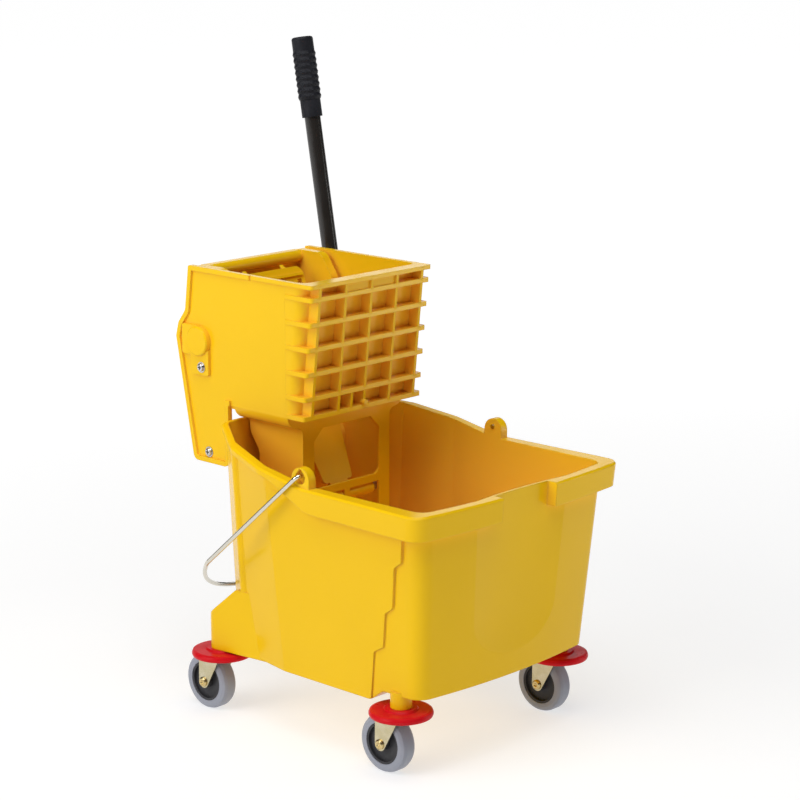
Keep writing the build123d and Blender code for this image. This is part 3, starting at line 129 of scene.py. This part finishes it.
# Grip: rows of knobs on its rings, measured along the lever from the middle of the grip
KNOB_PITCH = 0.0082
KNOB_FIRST = -0.0264
KNOB_ROWS = 8
KNOB_COLUMNS = 16
# Cosine of a knob's wave where it starts to rise and where it is full
KNOB_START = -0.2
KNOB_FULL = 0.8
# Share of the dusty colour on top of the knobs
KNOB_DUST = 0.35

# Cross recess in the screw heads, with the shares of its length and width that are at full depth
RECESS_LONG = 0.0031
RECESS_WIDE = 0.0009
RECESS_LONG_FULL = 0.9
RECESS_WIDE_FULL = 0.6


def solid(colour, factor=1.0):
    """Colour times factor, with full opacity."""
    return [part * factor for part in colour] + [1.0]


class Shader:
    """A Principled material with short calls for the nodes that it is built from."""

    def __init__(self, name, **constants):
        self.material = bpy.data.materials.new(name)
        self.material.use_nodes = True
        self.tree = self.material.node_tree
        self.tree.nodes.clear()
        output = self.tree.nodes.new("ShaderNodeOutputMaterial")
        self.bsdf = self.tree.nodes.new("ShaderNodeBsdfPrincipled")
        self.tree.links.new(self.bsdf.outputs["BSDF"], output.inputs["Surface"])
        self.place = self.tree.nodes.new("ShaderNodeTexCoord").outputs["Object"]
        for socket, value in constants.items():
            self.bsdf.inputs[socket.replace("_", " ")].default_value = value

    def feed(self, socket, value):
        """Link an output to a socket, or set the socket's own value."""
        if isinstance(value, bpy.types.NodeSocket):
            self.tree.links.new(value, socket)
        else:
            socket.default_value = value

    def stretched(self, scale):
        """Object coordinates stretched by scale along each axis."""
        node = self.tree.nodes.new("ShaderNodeMapping")
        self.tree.links.new(self.place, node.inputs["Vector"])
        node.inputs["Scale"].default_value = scale
        return node.outputs["Vector"]

    def noise(self, scale, detail, roughness=NOISE_ROUGHNESS, vector=None):
        node = self.tree.nodes.new("ShaderNodeTexNoise")
        self.tree.links.new(vector or self.place, node.inputs["Vector"])
        node.inputs["Scale"].default_value = scale
        node.inputs["Detail"].default_value = detail
        node.inputs["Roughness"].default_value = roughness
        return node.outputs["Fac"]

    def cells(self, scale):
        node = self.tree.nodes.new("ShaderNodeTexVoronoi")
        self.tree.links.new(self.place, node.inputs["Vector"])
        node.inputs["Scale"].default_value = scale
        return node.outputs["Distance"]

    def spread(self, value, low=NOISE_LOW, high=NOISE_HIGH, to_low=0.0, to_high=1.0):
        """Value between low and high, spread over to_low to to_high."""
        node = self.tree.nodes.new("ShaderNodeMapRange")
        self.feed(node.inputs["Value"], value)
        node.inputs["From Min"].default_value = low
        node.inputs["From Max"].default_value = high
        node.inputs["To Min"].default_value = to_low
        node.inputs["To Max"].default_value = to_high
        return node.outputs["Result"]

    def math(self, operation, first, second=0.0):
        node = self.tree.nodes.new("ShaderNodeMath")
        node.operation = operation
        self.feed(node.inputs[0], first)
        self.feed(node.inputs[1], second)
        return node.outputs["Value"]

    def blend(self, factor, first, second):
        node = self.tree.nodes.new("ShaderNodeMix")
        node.data_type = "RGBA"
        self.feed(node.inputs["Factor"], factor)
        self.feed(node.inputs["A"], first)
        self.feed(node.inputs["B"], second)
        return node.outputs["Result"]

    def flat_normal(self):
        return self.tree.nodes.new("ShaderNodeNewGeometry").outputs["Normal"]

    def rounded(self, radius, seam=None):
        """Normal with the hard edges rounded, but not where two pieces meet at a seam's plane."""
        node = self.tree.nodes.new("ShaderNodeBevel")
        node.samples = BEVEL_SAMPLES
        node.inputs["Radius"].default_value = radius
        if seam is None:
            return node.outputs["Normal"]
        away = self.math("ABSOLUTE", self.measured_from(*seam)[0])
        clear = self.spread(away, low=radius * SEAM_START, high=radius * SEAM_CLEAR)
        return self.blend(clear, self.flat_normal(), node.outputs["Normal"])

    def edges(self, normal):
        """1 on the rounded edges, 0 on the flats."""
        node = self.tree.nodes.new("ShaderNodeVectorMath")
        node.operation = "DOT_PRODUCT"
        self.tree.links.new(normal, node.inputs[0])
        self.tree.links.new(self.flat_normal(), node.inputs[1])
        return self.spread(node.outputs["Value"], low=EDGE_START, high=EDGE_FULL)

    def length(self, vector):
        node = self.tree.nodes.new("ShaderNodeVectorMath")
        node.operation = "LENGTH"
        self.tree.links.new(vector, node.inputs[0])
        return node.outputs["Value"]

    def openness(self, distance, own_walls):
        """1 on open faces, less in hollows narrower than distance, of its own walls only or of any."""
        node = self.tree.nodes.new("ShaderNodeAmbientOcclusion")
        node.samples = OPENNESS_SAMPLES
        node.only_local = own_walls
        node.inputs["Distance"].default_value = distance
        return node.outputs["AO"]

    def measured_from(self, place, turn=(0.0, 0.0, 0.0)):
        """Object coordinates as seen from a place with its own turn, as three outputs."""
        node = self.tree.nodes.new("ShaderNodeMapping")
        node.vector_type = "TEXTURE"
        self.tree.links.new(self.place, node.inputs["Vector"])
        node.inputs["Location"].default_value = place
        node.inputs["Rotation"].default_value = turn
        split = self.tree.nodes.new("ShaderNodeSeparateXYZ")
        self.tree.links.new(node.outputs["Vector"], split.inputs["Vector"])
        return split.outputs["X"], split.outputs["Y"], split.outputs["Z"]

    def bump(self, height, strength, distance, normal):
        node = self.tree.nodes.new("ShaderNodeBump")
        node.inputs["Strength"].default_value = strength
        node.inputs["Distance"].default_value = distance
        self.tree.links.new(height, node.inputs["Height"])
        self.tree.links.new(normal, node.inputs["Normal"])
        return node.outputs["Normal"]

    def finish(self, colour, roughness, normal):
        self.feed(self.bsdf.inputs["Base Color"], colour)
        self.feed(self.bsdf.inputs["Roughness"], roughness)
        self.feed(self.bsdf.inputs["Normal"], normal)
        return self.material


def moulded_plastic(name, round_radius, painted_shade, seam=None):
    """Yellow polypropylene: uneven tint, painted shade in hollows, orange peel, scuffs, painted
    highlight on the rounded edges.
    """
    shader = Shader(name, Metallic=0.0, IOR=PLASTIC_IOR, Specular_IOR_Level=PLASTIC_GLOSS)
    rounded = shader.rounded(round_radius, seam)
    cloud = shader.spread(shader.noise(scale=5.0, detail=4.0))
    tint = shader.blend(cloud, solid(YELLOW, DARK_CLOUD), solid(YELLOW))
    speck = shader.noise(scale=620.0, detail=2.0)
    speck = shader.spread(speck, low=0.62, high=0.75, to_high=0.14)
    tint = shader.blend(speck, tint, solid(SPECK_AND_HIGHLIGHT_YELLOW))
    # Painted shade: hollows and faces close to walls take a shifted, more orange tint, for their shadow
    # and the light bounced between yellow walls
    painted_shade_mask = shader.openness(painted_shade["reach"], own_walls=seam is None)
    painted_shade_mask = shader.spread(painted_shade_mask, low=PAINTED_SHADE_START, high=PAINTED_SHADE_FULL, to_high=PAINTED_SHADE_SHARE)
    painted_shade_tint = [part * shift for part, shift in zip(YELLOW, painted_shade["shift"])]
    tint = shader.blend(painted_shade_mask, tint, solid(painted_shade_tint))
    # Painted highlight: pale yellow along the rounded edges, broken up by noise
    painted_edge_highlight = shader.math("MULTIPLY", shader.edges(rounded), shader.noise(scale=70.0, detail=4.0))
    painted_edge_highlight = shader.spread(painted_edge_highlight, low=0.2, high=0.7, to_high=0.5)
    tint = shader.blend(painted_edge_highlight, tint, solid(SPECK_AND_HIGHLIGHT_YELLOW))
    tall = shader.stretched((1.0, 1.0, 7.0))
    scuff = shader.noise(scale=9.0, detail=8.0, roughness=0.7, vector=tall)
    scuff = shader.spread(scuff, low=0.57, high=0.75, to_high=0.1)
    patch = shader.spread(shader.noise(scale=26.0, detail=5.0), to_low=0.15, to_high=0.22)
    peel = shader.noise(scale=420.0, detail=2.0)
    normal = shader.bump(peel, strength=0.09, distance=0.0006, normal=rounded)
    return shader.finish(tint, shader.math("ADD", patch, scuff), normal)


def soft_rubber(name, base, dusty, rough, grain, round_radius, gloss=RUBBER_GLOSS):
    """Matt rubber or vinyl with a fine grain and dust in patches."""
    shader = Shader(name, Metallic=0.0, IOR=RUBBER_IOR, Specular_IOR_Level=gloss)
    dust = shader.noise(scale=38.0, detail=6.0, roughness=0.65)
    dust = shader.spread(dust, low=0.45, high=0.75, to_high=0.45)
    tint = shader.blend(dust, solid(base), solid(dusty))
    patch = shader.noise(scale=60.0, detail=4.0)
    patch = shader.spread(patch, to_low=rough - RUBBER_SWING, to_high=rough + RUBBER_SWING)
    fine = shader.noise(scale=grain, detail=3.0)
    rounded = shader.rounded(round_radius)
    normal = shader.bump(fine, strength=0.16, distance=0.0006, normal=rounded)
    return shader.finish(tint, patch, normal)


def plated_steel(name, first, second, rough, spangle):
    """Plated sheet: two tints in clouds, small spangles and a little tarnish."""
    shader = Shader(name, Metallic=1.0)
    cloud = shader.spread(shader.noise(scale=45.0, detail=4.0), low=0.35, high=0.65)
    tint = shader.blend(cloud, solid(first), solid(second))
    spots = shader.spread(shader.cells(spangle), low=0.0, high=0.6)
    spots = shader.math("MULTIPLY", spots, SPANGLE_SHARE)
    tint = shader.blend(spots, tint, solid(first, DARK_SPANGLE))
    patch = shader.noise(scale=130.0, detail=4.0)
    patch = shader.spread(patch, to_low=rough - PLATE_POLISH, to_high=rough + PLATE_TARNISH)
    waves = shader.noise(scale=260.0, detail=2.0)
    rounded = shader.rounded(radius=0.0006)
    normal = shader.bump(waves, strength=0.03, distance=0.0004, normal=rounded)
    return shader.finish(tint, patch, normal)


def drawn_metal(name, base, shade, rough, stretch):
    """Bright drawn or turned metal with fine lines, squeezed by stretch along each axis."""
    shader = Shader(name, Metallic=1.0)
    squeezed = shader.stretched(stretch)
    lines = shader.noise(scale=900.0, detail=2.0, roughness=0.5, vector=squeezed)
    worn = shader.spread(lines, low=0.35, to_high=0.5)
    tint = shader.blend(worn, solid(base), solid(shade))
    patch = shader.noise(scale=80.0, detail=3.0)
    patch = shader.spread(patch, to_low=rough, to_high=rough + METAL_TARNISH)
    rounded = shader.rounded(radius=0.0004)
    normal = shader.bump(lines, strength=0.05, distance=0.0003, normal=rounded)
    return shader.finish(tint, patch, normal)


def cross_screw(name, place):
    """Bright screw whose heads at place, seen along Y, have a cross recess: bumped into the normal, and
    coloured near-black inside as painted shade.
    """
    shader = Shader(name, Metallic=1.0)
    across, _, up = shader.measured_from(place)
    arms = []
    for along, aside in ((across, up), (up, across)):
        along = shader.math("ABSOLUTE", along)
        aside = shader.math("ABSOLUTE", aside)
        long_way = shader.spread(along, low=RECESS_LONG, high=RECESS_LONG * RECESS_LONG_FULL)
        wide_way = shader.spread(aside, low=RECESS_WIDE, high=RECESS_WIDE * RECESS_WIDE_FULL)
        arms.append(shader.math("MULTIPLY", long_way, wide_way))
    recess = shader.math("MAXIMUM", *arms)
    worn = shader.spread(shader.noise(scale=400.0, detail=3.0), low=0.35, to_high=0.5)
    tint = shader.blend(worn, solid(CHROME), solid(CHROME_SHADE))
    # Painted shade: the cross recess is coloured near-black for the shadow in its depth
    tint = shader.blend(recess, tint, solid(RECESS_PAINTED_SHADE))
    rough = shader.spread(shader.noise(scale=160.0, detail=3.0), to_low=0.16, to_high=0.28)
    height = shader.math("SUBTRACT", 1.0, recess)
    rounded = shader.rounded(radius=0.0004)
    normal = shader.bump(height, strength=0.8, distance=0.001, normal=rounded)
    return shader.finish(tint, rough, normal)


def knobbed_rubber(name, base, dusty, place, turn):
    """Grip rubber with rows of knobs round the axis that place and turn give."""
    shader = Shader(name, Metallic=0.0, IOR=RUBBER_IOR, Specular_IOR_Level=GRIP_GLOSS)
    across, aside, along = shader.measured_from(place, turn)
    angle = shader.math("MULTIPLY", shader.math("ARCTAN2", aside, across), KNOB_COLUMNS)
    around = shader.spread(shader.math("COSINE", angle), low=KNOB_START, high=KNOB_FULL)
    row = shader.math("SUBTRACT", along, KNOB_FIRST)
    row = shader.math("MULTIPLY", row, 2 * math.pi / KNOB_PITCH)
    rows = shader.spread(shader.math("COSINE", row), low=KNOB_START, high=KNOB_FULL)
    last = KNOB_FIRST + (KNOB_ROWS - 1) * KNOB_PITCH
    past_first = shader.spread(along, low=KNOB_FIRST - KNOB_PITCH / 2, high=KNOB_FIRST)
    before_last = shader.spread(along, low=last + KNOB_PITCH / 2, high=last)
    zone = shader.math("MULTIPLY", past_first, before_last)
    knobs = shader.math("MULTIPLY", shader.math("MULTIPLY", around, rows), zone)
    dust = shader.noise(scale=60.0, detail=6.0, roughness=0.65)
    dust = shader.spread(dust, low=0.45, high=0.75, to_high=0.5)
    tint = shader.blend(dust, solid(base), solid(dusty))
    tint = shader.blend(shader.math("MULTIPLY", knobs, KNOB_DUST), tint, solid(dusty))
    patch = shader.spread(shader.noise(scale=90.0, detail=4.0), to_low=0.42, to_high=0.56)
    fine = shader.noise(scale=900.0, detail=3.0)
    rounded = shader.rounded(radius=0.0012)
    grain = shader.bump(fine, strength=0.12, distance=0.0005, normal=rounded)
    normal = shader.bump(knobs, strength=0.9, distance=0.0009, normal=grain)
    return shader.finish(tint, patch, normal)


def gloss_paint(name, base, worn):
    """Black baked paint with faint orange peel and hairline scratches."""
    shader = Shader(name, Metallic=0.0, IOR=PAINT_IOR, Specular_IOR_Level=PAINT_GLOSS)
    upright = shader.stretched((9.0, 9.0, 0.7))
    hair = shader.noise(scale=55.0, detail=6.0, roughness=0.7, vector=upright)
    hair = shader.spread(hair, low=0.62, high=0.74, to_high=0.55)
    tint = shader.blend(hair, solid(base), solid(worn))
    patch = shader.spread(shader.noise(scale=40.0, detail=4.0), to_low=0.14, to_high=0.24)
    peel = shader.noise(scale=300.0, detail=2.0)
    rounded = shader.rounded(radius=0.001)
    normal = shader.bump(peel, strength=0.04, distance=0.0005, normal=rounded)
    return shader.finish(tint, patch, normal)


def middle_of(node):
    low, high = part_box(node)
    return tuple((a + b) / 2 for a, b in zip(low, high))


def grip_place():
    """Middle of the grip on the lever's axis, and the lever's turn about Y."""
    mounts = frame["record"]["mounts"]
    hold = next(mount for mount in mounts if mount["name"] == "lever_hand_hold")
    lean = math.atan2(hold["axis"][0], hold["axis"][2])
    return hold["pos_m"], (0.0, lean, 0.0)


def seam_place():
    """Where the basket's front meets the rest of the housing: a point of that plane and its turn."""
    polygons = NODES["basket_front"].data.polygons
    faces = [face for face in polygons if face.normal.x < SEAM_FACING]
    depths = [round(face.center.dot(faces[0].normal), SEAM_DIGITS) for face in faces]
    areas = {}
    for face, depth in zip(faces, depths):
        areas[depth] = areas.get(depth, 0.0) + face.area
    widest = max(areas, key=areas.get)
    face = faces[depths.index(widest)]
    return tuple(face.center), (0.0, math.atan2(face.normal.z, -face.normal.x), 0.0)


def paint_nodes():
    """Give every CAD node its material, by the first of these words that its name starts with."""
    bucket = moulded_plastic("bucket_yellow", round_radius=0.0022, painted_shade=BUCKET_PAINTED_SHADE)
    wringer = moulded_plastic(
        "wringer_yellow", round_radius=0.0012, painted_shade=WRINGER_PAINTED_SHADE, seam=seam_place()
    )
    zinc = plated_steel("zinc_fork", ZINC, PALE_ZINC, rough=0.22, spangle=420.0)
    bright = drawn_metal("bright_screw", CHROME, CHROME_SHADE, rough=0.16, stretch=(1, 6, 1))
    steel = drawn_metal("turned_steel", CHROME, STEEL_SHADE, rough=0.28, stretch=(1, 8, 1))
    paint = gloss_paint("black_paint", PAINT_BLACK, WORN_PAINT)
    looks = {
        "bucket_shell": bucket,
        "wringer_housing": wringer,
        "basket_front": wringer,
        "pivot_cap": wringer,
        "yoke": wringer,
        "presser": wringer,
        "bumper": soft_rubber(
            "bumper_red", RED, DUSTY_RED, rough=0.33, grain=300.0, round_radius=0.001, gloss=BUMPER_GLOSS
        ),
        "tyre": soft_rubber(
            "tyre_grey", TYRE_GREY, DUSTY_TYRE, rough=0.5, grain=500.0, round_radius=0.0016
        ),
        "wheel_hub": soft_rubber(
            "hub_charcoal", CHARCOAL, DUSTY_CHARCOAL, rough=0.45, grain=700.0, round_radius=0.0006
        ),
        "caster_axle": plated_steel("brass_axle", BRASS, PALE_BRASS, rough=0.26, spangle=300.0),
        "caster_stem": zinc,
        "caster_fork": zinc,
        "bail": drawn_metal("bright_wire", WIRE, WIRE_SHADE, rough=0.13, stretch=(2, 2, 2)),
        "cap_screws": cross_screw("cap_screw", middle_of("cap_screws")),
        "tie_screws": cross_screw("tie_screw", middle_of("tie_screws")),
        "screw_washers": bright,
        "socket_bolt": bright,
        "tie_rod": steel,
        "hinge_pin": steel,
        "cross_shaft": steel,
        "lever_socket": paint,
        "lever_tube": paint,
        "lever_grip": knobbed_rubber("grip_rubber", GRIP_BLACK, DUSTY_GRIP, *grip_place()),
    }
    for name, node in NODES.items():
        start = next(start for start in looks if name.startswith(start))
        node.data.materials.clear()
        node.data.materials.append(looks[start])


def add_floor():
    """Pale floor that glows less near the object, so that its soft shadow shows."""
    mesh = bpy.data.meshes.new("floor")
    signs = ((-1, -1), (1, -1), (1, 1), (-1, 1))
    corners = [(x * FLOOR_HALF, y * FLOOR_HALF, 0.0) for x, y in signs]
    mesh.from_pydata(corners, [], [(0, 1, 2, 3)])
    floor = bpy.data.objects.new("floor", mesh)
    bpy.context.scene.collection.objects.link(floor)
    shader = Shader("pale_floor", Roughness=FLOOR_ROUGHNESS)
    shader.bsdf.inputs["Base Color"].default_value = solid(FLOOR_GREY)
    shader.bsdf.inputs["Emission Color"].default_value = solid(WHITE)
    glow = shader.spread(shader.length(shader.place), *FLOOR_GLOW_RADII, *FLOOR_GLOW)
    shader.feed(shader.bsdf.inputs["Emission Strength"], glow)
    mesh.materials.append(shader.material)


def add_light():
    world = bpy.data.worlds.new("studio")
    world.use_nodes = True
    background = world.node_tree.nodes["Background"]
    background.inputs["Color"].default_value = solid(WHITE)
    background.inputs["Strength"].default_value = WORLD_STRENGTH
    bpy.context.scene.world = world
    for name, settings in LAMPS.items():
        add_lamp(name, **settings)


def add_lamp(name, place, size, power):
    """Soft panel of light at place, turned to the middle of the object."""
    panel = bpy.data.lights.new(name, "AREA")
    panel.shape = "RECTANGLE"
    panel.size, panel.size_y = size
    panel.energy = power
    lamp = bpy.data.objects.new(name, panel)
    lamp.location = place
    ahead = Vector(VIEW_TARGET) - Vector(place)
    lamp.rotation_euler = ahead.to_track_quat("-Z", "Y").to_euler()
    lamp.visible_camera = False
    bpy.context.scene.collection.objects.link(lamp)


def add_camera():
    turn = math.radians(VIEW_AZIMUTH)
    rise = math.radians(VIEW_ELEVATION)
    level = math.cos(rise)
    back = Vector((math.sin(turn) * level, -math.cos(turn) * level, math.sin(rise)))
    data = bpy.data.cameras.new("camera")
    data.sensor_width = SENSOR_MM
    data.lens = FOCAL_PIXELS / FRAME_PIXELS * SENSOR_MM
    data.shift_x = SHIFT_PIXELS[0] / FRAME_PIXELS
    data.shift_y = SHIFT_PIXELS[1] / FRAME_PIXELS
    camera = bpy.data.objects.new("camera", data)
    camera.location = Vector(VIEW_TARGET) + back * VIEW_DISTANCE
    camera.rotation_euler = (-back).to_track_quat("-Z", "Y").to_euler()
    bpy.context.scene.collection.objects.link(camera)
    bpy.context.scene.camera = camera


bpy.context.scene.view_settings.view_transform = "Standard"
paint_nodes()
add_floor()
add_light()
add_camera()
